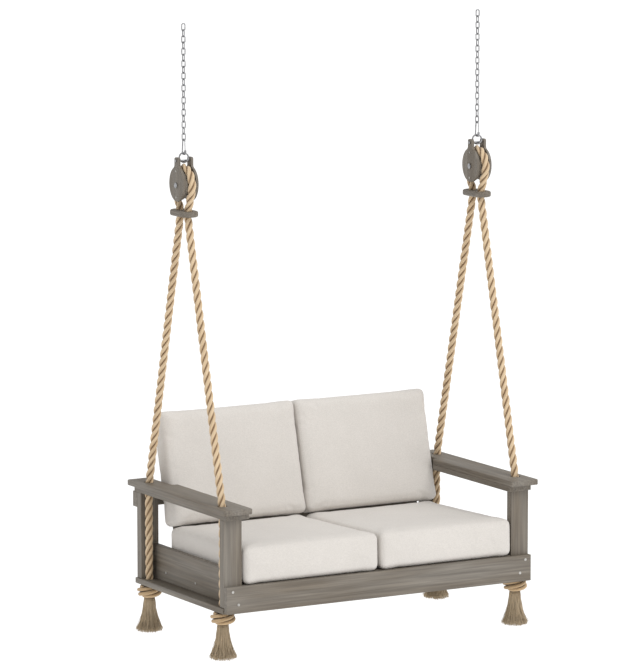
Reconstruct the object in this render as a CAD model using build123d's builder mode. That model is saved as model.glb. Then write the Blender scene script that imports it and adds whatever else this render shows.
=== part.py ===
"""Two-seat porch swing hung on rope, pulley blocks and chain.

Origin: midway between the two top chain links, at the height where a ceiling hook bears on them.
+X is the swing's left-to-right as seen from the front, +Y is towards the back, +Z is up. Millimetres.
"""

import math
import os

from build123d import *

# ---- heights, all measured down from the hook line ------------------------------------------
ARM_TOP = -2057.3  # top face of the arm boards
RAIL_BOTTOM = ARM_TOP - 50.8
LEDGE_TOP = ARM_TOP - 437.0
LEDGE_T = 25.4
LEDGE_BOTTOM = LEDGE_TOP - LEDGE_T
APRON_TOP = ARM_TOP - 342.7
APRON_H = 117.5

# ---- boards -----------------------------------------------------------------------------------
BOARD_T = 25.4
ARM_OUT = 795.6
ARM_W = 139.7
ARM_HALF_L = 452.0
ARM_NOTCH_X = 684.8
ARM_NOTCH_Y = 232.0
RAIL_W = 114.3
POST_OUT = 772.9
POST_W = 88.9
POST_T = 38.5
POST_IN = POST_OUT - POST_W
POST_FRONT_Y = 403.9
REAR_POST_Y = 362.8
LEDGE_OUT = 778.5
LEDGE_REAR_Y = 409.8
PANEL_IN = 685.6
PANEL_H = 153.0
EASE = 3.0

# ---- rope, blocks and chain ---------------------------------------------------------------------
ROPE_X = 744.0
ROPE_R = 18.0
ROPE_LEG_Y = 340.7
ROPE_HOLE_R = 22.0
FAIR_Z = ARM_TOP + 1237.0
FAIR_HALF = 31.0
FAIR_BOW = 8.3  # how far the rope's bend stands off the corner of its route
KNOT_TOP = LEDGE_BOTTOM - 0.8
FAIR_L = 164.0
FAIR_W = 86.0
SHEAVE_Z = ARM_TOP + 1360.0
ROPE_TURN_R = 75.0
SHEAVE_PIN_R = 8.0
RING_Z = ARM_TOP + 1479.0
RING_R = 20.5
RING_WIRE = 3.5
TOP_PIN_R = 4.0
TOP_PIN_Z = RING_Z - RING_R + RING_WIRE + TOP_PIN_R
CHEEK_GAP = 26.0
CHEEK_T = 12.0
CHEEK_HALF_W = 66.0
CHEEK_HALF_H = 76.0
EAR_W = 36.0
EAR_ABOVE_PIN = 15.0
SHEAVE_R = 64.0
CARAB_WIRE = 3.0
CARAB_LOW_Z = RING_Z + RING_R - RING_WIRE - 0.3 - CARAB_WIRE
LINK_PITCH = 26.4
LINK_WIRE = 2.5
LINK_INNER = LINK_PITCH + 0.3
LINK_BEND = 8.0
LINK_1_Z = -LINK_INNER / 2
LINKS = 19
LAST_LINK_LOW_Z = LINK_1_Z - (LINKS - 1) * LINK_PITCH - LINK_INNER / 2 - LINK_WIRE
CARAB_TOP_Z = LAST_LINK_LOW_Z + LINK_WIRE + 0.3 + CARAB_WIRE
GATE_PIVOT = (12.2, CARAB_LOW_Z + 15.5)

# ---- seat and back ------------------------------------------------------------------------------
SEAT_TILT = 2.0
SEAT_FRONT_Y = -430.0
SEAT_L = 708.0
SEAT_T = 168.0
SEAT_W = 681.5
BACK_LEAN = 14.2
BACK_FRONT_Y = 214.0
BACK_LOW_Z = ARM_TOP - 183.0
BACK_H = 512.0
BACK_T = 110.0
SLAT_T = 19.0
BACK_SLAT_T = 15.0
BACK_HALF_W = 628.0
BACK_RAIL_Y = 401.4
BACK_RAIL_T = 38.4
BACK_RAIL_H = 69.0

os.makedirs("parts", exist_ok=True)
SIDES = ((-1, "left"), (1, "right"))
ENDS = ((-1, "front"), (1, "rear"))


def save(builder, node):
    """Label a finished sub-part and write its STEP file."""
    builder.part.label = node
    export_step(builder.part, f"parts/{node}.step")


def board(x0, x1, y0, y1, z0, z1, ease=EASE):
    """A sawn board between two corners, its arrises eased."""
    with Locations(((x0 + x1) / 2, (y0 + y1) / 2, (z0 + z1) / 2)):
        box = Box(abs(x1 - x0), abs(y1 - y0), abs(z1 - z0))
    if ease:
        fillet(box.edges(), ease)


def arc_at(before, corner, after, radius):
    """Tangent points and mid point of an arc that rounds one corner of a 2-D path."""
    b = Vector(*before)
    c = Vector(*corner)
    a = Vector(*after)
    u = (b - c).normalized()
    w = (a - c).normalized()
    half = math.acos(max(-1.0, min(1.0, u.dot(w)))) / 2
    cut = radius / math.tan(half)
    centre = c + (u + w).normalized() * (radius / math.sin(half))
    mid = centre + (c - centre).normalized() * radius
    return c + u * cut, mid, c + w * cut


def rope_route(side):
    """Centre line of one rope: up a rear leg, over the sheave and down the front leg."""
    x = side * ROPE_X
    low = (ROPE_LEG_Y, KNOT_TOP)
    bend = (ROPE_LEG_Y, ARM_TOP - 15.0)
    gather = (FAIR_HALF, FAIR_Z)
    # tangent point on the sheave turn, from the gather point
    dy = gather[0]
    dz = gather[1] - SHEAVE_Z
    reach = math.hypot(dy, dz)
    swing = math.acos(ROPE_TURN_R / reach)
    facing = math.atan2(dz, dy) + swing
    touch = (ROPE_TURN_R * math.cos(facing), SHEAVE_Z + ROPE_TURN_R * math.sin(facing))
    a0, a1, a2 = arc_at(low, bend, gather, 150.0)
    b0, b1, b2 = arc_at(bend, gather, touch, 150.0)
    pts = [Vector(*low), a0, a1, a2, b0, b1, b2, Vector(*touch)]
    right = [Vector(x, p.X, p.Y) for p in pts]
    left = [Vector(x, -p.X, p.Y) for p in pts]
    top = Vector(x, 0, SHEAVE_Z + ROPE_TURN_R)
    Line(right[0], right[1])
    ThreePointArc(right[1], right[2], right[3])
    Line(right[3], right[4])
    ThreePointArc(right[4], right[5], right[6])
    Line(right[6], right[7])
    ThreePointArc(right[7], top, left[7])
    Line(left[7], left[6])
    ThreePointArc(left[6], left[5], left[4])
    Line(left[4], left[3])
    ThreePointArc(left[3], left[2], left[1])
    Line(left[1], left[0])


def chain_link(x, z, across):
    """One welded link: a stadium of round wire, in the X-Z plane when across is true."""
    plane = Plane(origin=(x, 0, z), x_dir=(1, 0, 0), z_dir=(0, -1, 0))
    if not across:
        plane = Plane(origin=(x, 0, z), x_dir=(0, 1, 0), z_dir=(1, 0, 0))
    r = LINK_BEND
    s = LINK_INNER / 2 + LINK_WIRE - LINK_BEND
    with BuildLine(plane) as wire:
        Line((r, -s), (r, s))
        ThreePointArc((r, s), (0, s + r), (-r, s))
        Line((-r, s), (-r, -s))
        ThreePointArc((-r, -s), (0, -s - r), (r, -s))
    start = plane.from_local_coords((r, -s, 0))
    with BuildSketch(Plane(origin=start, z_dir=(0, 0, 1))) as section:
        Circle(LINK_WIRE)
    sweep(sections=section.sketch, path=wire.wires()[0])


# ---- chains, carabiners and gates ---------------------------------------------------------------
with BuildPart() as top_links:
    for side, name in SIDES:
        chain_link(side * ROPE_X, LINK_1_Z, True)
save(top_links, "top_links")

for side, name in SIDES:
    x = side * ROPE_X
    with BuildPart() as second_link:
        chain_link(x, LINK_1_Z - LINK_PITCH, False)
    save(second_link, f"{name}_second_link")

    with BuildPart() as chain_run:
        for index in range(2, LINKS):
            chain_link(x, LINK_1_Z - index * LINK_PITCH, index % 2 == 0)
    save(chain_run, f"{name}_chain_run")

    # pear-shaped snap link, square to the last chain link, its gate on the front side
    gx, gz = GATE_PIVOT
    with BuildPart() as carabiner:
        face = Plane(origin=(x, 0, 0), x_dir=(0, -1, 0), z_dir=(-1, 0, 0))
        with BuildLine(face) as body:
            FilletPolyline(
                (gx + 0.6, gz - 3.5),
                (14.5, CARAB_LOW_Z),
                (-14.5, CARAB_LOW_Z),
                (-9.0, CARAB_TOP_Z),
                (9.0, CARAB_TOP_Z),
                (9.7, CARAB_TOP_Z - 9.5),
                radius=7.0,
            )
        start = face.from_local_coords((gx + 0.6, gz - 3.5, 0))
        with BuildSketch(Plane(origin=start, z_dir=body.wires()[0] % 0)) as section:
            Circle(CARAB_WIRE)
        sweep(sections=section.sketch, path=body.wires()[0])
        # fork and rivet that carry the gate
        for dx in (-3.4, 3.4):
            with Locations((x + dx, -gx, gz - 1.5)):
                Box(1.6, 7.0, 9.0)
        with Locations((x, -gx, gz)):
            Cylinder(1.0, 8.4, rotation=(0, 90, 0))
    save(carabiner, f"{name}_carabiner")

    with BuildPart() as gate:
        tip = (9.9, CARAB_TOP_Z - 10.2)
        run = math.hypot(tip[0] - gx, tip[1] - gz)
        slope = math.degrees(math.atan2(tip[0] - gx, tip[1] - gz))
        with Locations(Location((x, -gx, gz), (slope, 0, 0))):
            with Locations((0, 0, (run + 1.8) / 2)):
                Cylinder(1.9, run - 1.8)
            Cylinder(2.6, 4.2, rotation=(0, 90, 0))
            Cylinder(1.05, 12.0, rotation=(0, 90, 0), mode=Mode.SUBTRACT)
    save(gate, f"{name}_gate")

    # the ring hangs turned half way between the snap link and the block's top pin
    with BuildPart() as ring:
        with Locations(Plane(origin=(x, 0, RING_Z), z_dir=(1, 1, 0))):
            Torus(RING_R, RING_WIRE)
    save(ring, f"{name}_ring")

    # ---- pulley block ---------------------------------------------------------------------------
    for place, word in ((side, "outer"), (-side, "inner")):
        inner_face = x + place * CHEEK_GAP
        toward = 1 if place > 0 else -1
        with BuildPart() as cheek:
            face = Plane(origin=(inner_face, 0, 0), x_dir=(0, 1, 0), z_dir=(1, 0, 0))
            with BuildSketch(face) as outline:
                with Locations((0, SHEAVE_Z + 5.0)):
                    Ellipse(CHEEK_HALF_W, CHEEK_HALF_H)
                ear_top = TOP_PIN_Z + EAR_ABOVE_PIN
                with Locations((0, (SHEAVE_Z + ear_top) / 2)):
                    Rectangle(EAR_W, ear_top - SHEAVE_Z)
                fillet([v for v in outline.vertices() if v.Y > ear_top - 1.0], 9.0)
                shoulder = SHEAVE_Z + 78.1
                fillet([v for v in outline.vertices() if abs(v.Y - shoulder) < 6.0], 16.0)
            extrude(amount=toward * CHEEK_T)
            outside = cheek.faces().sort_by(Axis.X)[-1 if toward > 0 else 0]
            fillet(outside.edges(), 2.5)
            with Locations(Location((x + place * (CHEEK_GAP + CHEEK_T / 2), 0, SHEAVE_Z), (0, 90, 0))):
                Cylinder(SHEAVE_PIN_R, 30.0, mode=Mode.SUBTRACT)
            with Locations(Location((x + place * (CHEEK_GAP + CHEEK_T / 2), 0, TOP_PIN_Z), (0, 90, 0))):
                Cylinder(TOP_PIN_R, 30.0, mode=Mode.SUBTRACT)
        save(cheek, f"{name}_block_{word}_cheek")

    pin_half = CHEEK_GAP + CHEEK_T + 1.5
    with BuildPart() as top_pin:
        with Locations(Location((x, 0, TOP_PIN_Z), (0, 90, 0))):
            Cylinder(TOP_PIN_R, 2 * pin_half)
        for place in (-1, 1):
            with Locations(Location((x + place * (pin_half + 1.2), 0, TOP_PIN_Z), (0, 90, 0))):
                Cylinder(6.5, 3.0 - 0.6)
    save(top_pin, f"{name}_block_top_pin")

    with BuildPart() as sheave_pin:
        with Locations(Location((x, 0, SHEAVE_Z), (0, 90, 0))):
            Cylinder(SHEAVE_PIN_R, 2 * pin_half)
        for place in (-1, 1):
            with Locations(Location((x + place * (pin_half + 1.2), 0, SHEAVE_Z), (0, 90, 0))):
                Cylinder(12.0, 3.0 - 0.6)
    save(sheave_pin, f"{name}_sheave_pin")

    with BuildPart() as sheave:
        with Locations(Location((x, 0, SHEAVE_Z), (0, 90, 0))):
            Cylinder(SHEAVE_R, 2 * CHEEK_GAP - 4.0)
            Cylinder(SHEAVE_PIN_R + 0.05, 60.0, mode=Mode.SUBTRACT)
            Torus(ROPE_TURN_R, ROPE_R + 0.4, mode=Mode.SUBTRACT)
    save(sheave, f"{name}_sheave")

    # ---- fairlead, rope, knots and tassels --------------------------------------------------------
    with BuildPart() as fairlead:
        with BuildSketch(Plane(origin=(x, 0, FAIR_Z - BOARD_T / 2), x_dir=(0, 1, 0), z_dir=(0, 0, 1))):
            SlotOverall(FAIR_L, FAIR_W)
        extrude(amount=BOARD_T)
        fillet(fairlead.faces().sort_by(Axis.Z)[-1].edges(), 8.0)
        fillet(fairlead.faces().sort_by(Axis.Z)[0].edges(), 8.0)
        for end, word in ENDS:
            with Locations((x, end * (FAIR_HALF + FAIR_BOW), FAIR_Z)):
                Cylinder(ROPE_R + 1.9, 60.0, mode=Mode.SUBTRACT)
    save(fairlead, f"{name}_fairlead")

    with BuildPart() as rope:
        with BuildLine() as route:
            rope_route(side)
        with BuildSketch(Plane(origin=(x, ROPE_LEG_Y, KNOT_TOP), z_dir=(0, 0, 1))) as section:
            Circle(ROPE_R)
        sweep(sections=section.sketch, path=route.wires()[0])
    save(rope, f"{name}_rope")

    for end, word in ENDS:
        y = end * ROPE_LEG_Y
        with BuildPart() as knot:
            with BuildSketch(Plane(origin=(x, y, KNOT_TOP), x_dir=(1, 0, 0), z_dir=(0, -1, 0))):
                with BuildLine():
                    Polyline((0, 0), (40.0, 0))
                    ThreePointArc((40.0, 0), (57.0, -14.0), (50.0, -28.0))
                    ThreePointArc((50.0, -28.0), (54.0, -42.0), (34.0, -54.0))
                    Polyline((34.0, -54.0), (0, -54.0), (0, 0))
                make_face()
            revolve(axis=Axis((x, y, 0), (0, 0, 1)))
        save(knot, f"{word}_{name}_knot")

        with BuildPart() as tassel:
            with BuildSketch(Plane(origin=(x, y, KNOT_TOP - 54.0), x_dir=(1, 0, 0), z_dir=(0, -1, 0))):
                with BuildLine():
                    Polyline((0, -0.2), (23.0, -0.2))
                    Spline((23.0, -0.2), (27.0, -30.0), (34.0, -64.0), (46.0, -106.0), (61.0, -140.0))
                    Polyline((61.0, -140.0), (50.0, -160.0), (0, -160.0), (0, -0.2))
                make_face()
            revolve(axis=Axis((x, y, 0), (0, 0, 1)))
        save(tassel, f"{word}_{name}_tassel")

    # ---- side frames ------------------------------------------------------------------------------
    arm_in = ARM_OUT - ARM_W
    with BuildPart() as arm_board:
        with BuildSketch(Plane.XY.offset(ARM_TOP - BOARD_T)):
            with Locations((side * (ARM_OUT + arm_in) / 2, 0)):
                Rectangle(ARM_W, 2 * ARM_HALF_L)
            cut_w = ARM_NOTCH_X - arm_in + 10.0
            cut_l = ARM_HALF_L - ARM_NOTCH_Y + 10.0
            with Locations((side * (ARM_NOTCH_X - cut_w / 2), ARM_NOTCH_Y + cut_l / 2)):
                Rectangle(cut_w, cut_l, mode=Mode.SUBTRACT)
        extrude(amount=BOARD_T)
        fillet(arm_board.edges().filter_by(Axis.Z), 9.0)
        fillet(arm_board.faces().sort_by(Axis.Z)[-1].edges(), 6.0)
        fillet(arm_board.faces().sort_by(Axis.Z)[0].edges(), 4.0)
        for end, word in ENDS:
            with Locations((side * ROPE_X, end * (ROPE_LEG_Y - 1.7), ARM_TOP)):
                Cylinder(ROPE_HOLE_R, 80.0, mode=Mode.SUBTRACT)
    save(arm_board, f"{name}_arm_board")

    rail_in = POST_OUT - RAIL_W
    with BuildPart() as arm_rail:
        with BuildSketch(Plane.XY.offset(RAIL_BOTTOM)):
            with Locations((side * (POST_OUT + rail_in) / 2, 0.0)):
                Rectangle(RAIL_W, 2 * 425.0)
            cut_w = ARM_NOTCH_X - rail_in + 10.0
            with Locations((side * (ARM_NOTCH_X - cut_w / 2), ARM_NOTCH_Y + 120.0)):
                Rectangle(cut_w, 240.0, mode=Mode.SUBTRACT)
        extrude(amount=BOARD_T)
        fillet(arm_rail.edges(), 2.0)
        for end, word in ENDS:
            with Locations((side * ROPE_X, end * (ROPE_LEG_Y - 1.0), ARM_TOP)):
                Cylinder(ROPE_HOLE_R, 160.0, mode=Mode.SUBTRACT)
    save(arm_rail, f"{name}_arm_rail")

    for y0, y1, word in (
        (-POST_FRONT_Y, -POST_FRONT_Y + POST_T, "front"),
        (REAR_POST_Y, REAR_POST_Y + POST_T, "rear"),
    ):
        with BuildPart() as post:
            board(side * POST_IN, side * POST_OUT, y0, y1, LEDGE_TOP, RAIL_BOTTOM)
        save(post, f"{word}_{name}_post")

    with BuildPart() as side_panel:
        outer = PANEL_IN + BOARD_T
        y0 = -POST_FRONT_Y + POST_T
        # the panel stands between the posts, just inside their inner faces at each end
        board(side * PANEL_IN, side * outer, y0, REAR_POST_Y, LEDGE_TOP, LEDGE_TOP + PANEL_H, 2.0)
    save(side_panel, f"{name}_side_panel")

    with BuildPart() as rope_ledge:
        board(side * POST_IN, side * LEDGE_OUT, -POST_FRONT_Y, LEDGE_REAR_Y, LEDGE_BOTTOM, LEDGE_TOP)
        for end, word in ENDS:
            with Locations((side * ROPE_X, end * ROPE_LEG_Y, LEDGE_TOP)):
                Cylinder(ROPE_R + 0.8, 80.0, mode=Mode.SUBTRACT)
    save(rope_ledge, f"{name}_rope_ledge")

# ---- seat ---------------------------------------------------------------------------------------
with BuildPart() as front_apron:
    y1 = -POST_FRONT_Y
    board(-POST_OUT, POST_OUT, y1 - BOARD_T, y1, APRON_TOP - APRON_H, APRON_TOP, 2.5)
save(front_apron, "front_apron")

FRONT_BEAM_T = 38.0
with BuildPart() as front_beam:
    y0 = -POST_FRONT_Y + POST_T + 0.2
    board(-POST_IN + 0.5, POST_IN - 0.5, y0, y0 + FRONT_BEAM_T, APRON_TOP - APRON_H, APRON_TOP - 22.0)
save(front_beam, "front_beam")

REAR_APRON_Y = 318.0
with BuildPart() as rear_apron:
    y0 = REAR_APRON_Y
    board(-POST_IN + 0.5, POST_IN - 0.5, y0, y0 + BOARD_T, APRON_TOP - APRON_H, APRON_TOP - 40.0)
save(rear_apron, "rear_apron")

DECK = Plane(origin=(0, -POST_FRONT_Y, APRON_TOP), x_dir=(1, 0, 0), z_dir=(0, 0, 1)).rotated(
    (-SEAT_TILT, 0, 0)
)
DECK_T = 19.0
with BuildPart() as seat_bearers:
    for x in (-640.0, -220.0, 220.0, 640.0):
        y0 = -POST_FRONT_Y + POST_T + FRONT_BEAM_T + 0.2
        with BuildSketch(Plane(origin=(x - 19.0, 0, 0), x_dir=(0, 1, 0), z_dir=(1, 0, 0))):
            drop = (REAR_APRON_Y - y0) * math.tan(math.radians(SEAT_TILT))
            top = APRON_TOP - DECK_T / math.cos(math.radians(SEAT_TILT))
            top = top - (y0 + POST_FRONT_Y) * math.tan(math.radians(SEAT_TILT))
            low = APRON_TOP - APRON_H
            with BuildLine():
                Polyline((y0, low), (REAR_APRON_Y, low), (REAR_APRON_Y, top - drop), (y0, top), (y0, low))
            make_face()
        extrude(amount=38.0)
save(seat_bearers, "seat_bearers")

with BuildPart() as seat_slats:
    for index in range(7):
        with Locations(DECK.location * Location((0, 48.0 + index * 98.0, -DECK_T / 2))):
            slat = Box(1362.0, 89.0, DECK_T)
        fillet(slat.edges().filter_by(Axis.X), 2.0)
save(seat_slats, "seat_slats")

for side, name in SIDES:
    with BuildPart() as seat_cushion:
        middle = (side * (SEAT_W / 2 + 0.5), SEAT_FRONT_Y + POST_FRONT_Y + SEAT_L / 2, SEAT_T / 2 + 0.2)
        with Locations(DECK.location * Location(middle)):
            Box(SEAT_W, SEAT_L, SEAT_T)
        fillet(seat_cushion.edges(), 26.0)
    save(seat_cushion, f"{name}_seat_cushion")

# ---- back -----------------------------------------------------------------------------------------
# local frame: x along the swing, y rearward through the thickness, z up the slope
BACK = Plane(origin=(0, BACK_FRONT_Y, BACK_LOW_Z), x_dir=(1, 0, 0), z_dir=(0, 0, 1)).rotated(
    (-BACK_LEAN, 0, 0)
)
for side, name in SIDES:
    with BuildPart() as back_cushion:
        middle = (side * (SEAT_W / 2 + 0.5), BACK_T / 2, BACK_H / 2)
        with Locations(BACK.location * Location(middle)):
            Box(SEAT_W, BACK_T, BACK_H)
        fillet(back_cushion.edges(), 26.0)
    save(back_cushion, f"{name}_back_cushion")

with BuildPart() as back_slats:
    for index in range(5):
        z = -6.0 + index * 112.0
        with Locations(BACK.location * Location((0, BACK_T + 0.3 + BACK_SLAT_T / 2, z))):
            slat = Box(2 * BACK_HALF_W, BACK_SLAT_T, 64.0)
        fillet(slat.edges().filter_by(Axis.X), 2.0)
save(back_slats, "back_slats")

STILE_LOW = -245.0
STILE_TOP = 470.0
with BuildPart() as back_stiles:
    for x in (-585.0, -272.0, 272.0, 585.0):
        y = BACK_T + 0.3 + BACK_SLAT_T + SLAT_T / 2
        with Locations(BACK.location * Location((x, y, (STILE_LOW + STILE_TOP) / 2))):
            Box(64.0, SLAT_T, STILE_TOP - STILE_LOW)
save(back_stiles, "back_stiles")

with BuildPart() as back_rail:
    top = RAIL_BOTTOM
    board(-POST_OUT, POST_OUT, BACK_RAIL_Y, BACK_RAIL_Y + BACK_RAIL_T, top - BACK_RAIL_H, top, 2.5)
save(back_rail, "back_rail")

# ---- screws ---------------------------------------------------------------------------------------
with BuildPart() as apron_screws:
    y = -POST_FRONT_Y - BOARD_T
    for side, name in SIDES:
        for dx, dz in ((30.0, -20.0), (58.0, -78.0)):
            at = (side * (POST_OUT - dx), y, APRON_TOP + dz)
            with Locations(Location(at, (90, 0, 0))):
                Cylinder(6.0, 1.6, align=(Align.CENTER, Align.CENTER, Align.MIN))
save(apron_screws, "apron_screws")

with BuildPart() as panel_screws:
    for side, name in SIDES:
        x = side * (PANEL_IN + BOARD_T)
        for y in (-303.0, -30.0, 243.0):
            with Locations(Location((x, y, LEDGE_TOP + 41.0), (0, side * 90, 0))):
                Cylinder(5.0, 1.6, align=(Align.CENTER, Align.CENTER, Align.MIN))
save(panel_screws, "panel_screws")

with BuildPart() as block_screws:
    for side, name in SIDES:
        for place in (-1, 1):
            x = side * ROPE_X + place * (CHEEK_GAP + CHEEK_T)
            for y, z in ((0.0, SHEAVE_Z + 62.0), (0.0, SHEAVE_Z - 52.0)):
                with Locations(Location((x, y, z), (0, place * 90, 0))):
                    Cylinder(4.0, 1.4, align=(Align.CENTER, Align.CENTER, Align.MIN))
save(block_screws, "block_screws")
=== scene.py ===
"""Looks of a two-seat porch swing hung on rope, pulley blocks and chain.

The frame's own nodes keep their shapes and get worked materials. Ropes, knots, tassels, cushions
and screw heads are modelled here and ride on the bench.
"""

import logging
import math
import random
from dataclasses import dataclass, field
from enum import Enum

import bmesh
import bpy
from mathutils import Matrix, Vector


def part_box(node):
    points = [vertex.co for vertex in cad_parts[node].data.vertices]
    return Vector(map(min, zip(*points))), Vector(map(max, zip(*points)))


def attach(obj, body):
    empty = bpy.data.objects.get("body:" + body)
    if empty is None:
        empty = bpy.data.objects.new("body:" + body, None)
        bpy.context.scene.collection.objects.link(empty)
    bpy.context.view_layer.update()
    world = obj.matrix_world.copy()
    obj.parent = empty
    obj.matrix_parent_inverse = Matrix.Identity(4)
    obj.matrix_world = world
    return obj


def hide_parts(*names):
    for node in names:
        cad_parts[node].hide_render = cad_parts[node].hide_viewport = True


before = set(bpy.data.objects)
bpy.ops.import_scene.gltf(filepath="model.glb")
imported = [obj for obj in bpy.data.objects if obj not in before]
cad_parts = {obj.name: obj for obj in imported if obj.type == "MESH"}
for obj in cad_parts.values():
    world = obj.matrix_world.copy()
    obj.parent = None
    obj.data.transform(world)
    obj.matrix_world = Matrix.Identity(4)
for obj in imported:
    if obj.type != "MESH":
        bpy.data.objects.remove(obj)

LOG = logging.getLogger("porch_swing")
Point = tuple[float, float, float]
Colour = tuple[float, float, float, float]
ROPE_X = 0.744
STRAND_SIDES = 12
CORE_SIDES = 28


class Grain(Enum):
    """The way a board's grain runs."""

    ALONG = (0.0, 0.0, 0.0)
    DEEP = (0.0, 0.0, -math.pi / 2)
    UPRIGHT = (0.0, math.pi / 2, 0.0)


class Side(Enum):
    """The two sides of the swing, with the sign of X."""

    LEFT = ("left", -1.0)
    RIGHT = ("right", 1.0)

    @property
    def word(self) -> str:
        """The side's name."""
        return self.value[0]

    @property
    def sign(self) -> float:
        """The sign of X on this side."""
        return self.value[1]


def tint(red: int, green: int, blue: int) -> Colour:
    """Turn a screen colour into a linear one.

    Args:
        red: Red, 0 to 255.
        green: Green, 0 to 255.
        blue: Blue, 0 to 255.

    Returns:
        The linear colour with full alpha.
    """
    out = []
    for value in (red, green, blue):
        share = value / 255.0
        out.append(share / 12.92 if share <= 0.04045 else ((share + 0.055) / 1.055) ** 2.4)
    return (out[0], out[1], out[2], 1.0)


def mesh_object(name: str, mesh: bpy.types.Mesh) -> bpy.types.Object:
    """Put a mesh in the scene as an object at the origin.

    Args:
        name: The piece's name.
        mesh: Its mesh, in the row frame.

    Returns:
        The new object.
    """
    piece = bpy.data.objects.new(name, mesh)
    bpy.context.scene.collection.objects.link(piece)
    return piece


def choose_only(piece: bpy.types.Object) -> None:
    """Select one object alone and make it active."""
    bpy.ops.object.select_all(action="DESELECT")
    piece.select_set(True)
    bpy.context.view_layer.objects.active = piece


def dress(piece: bpy.types.Object, material: bpy.types.Material) -> None:
    """Give an object one material."""
    piece.data.materials.clear()
    piece.data.materials.append(material)


# ---- shader node groups -------------------------------------------------------------------------


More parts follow.
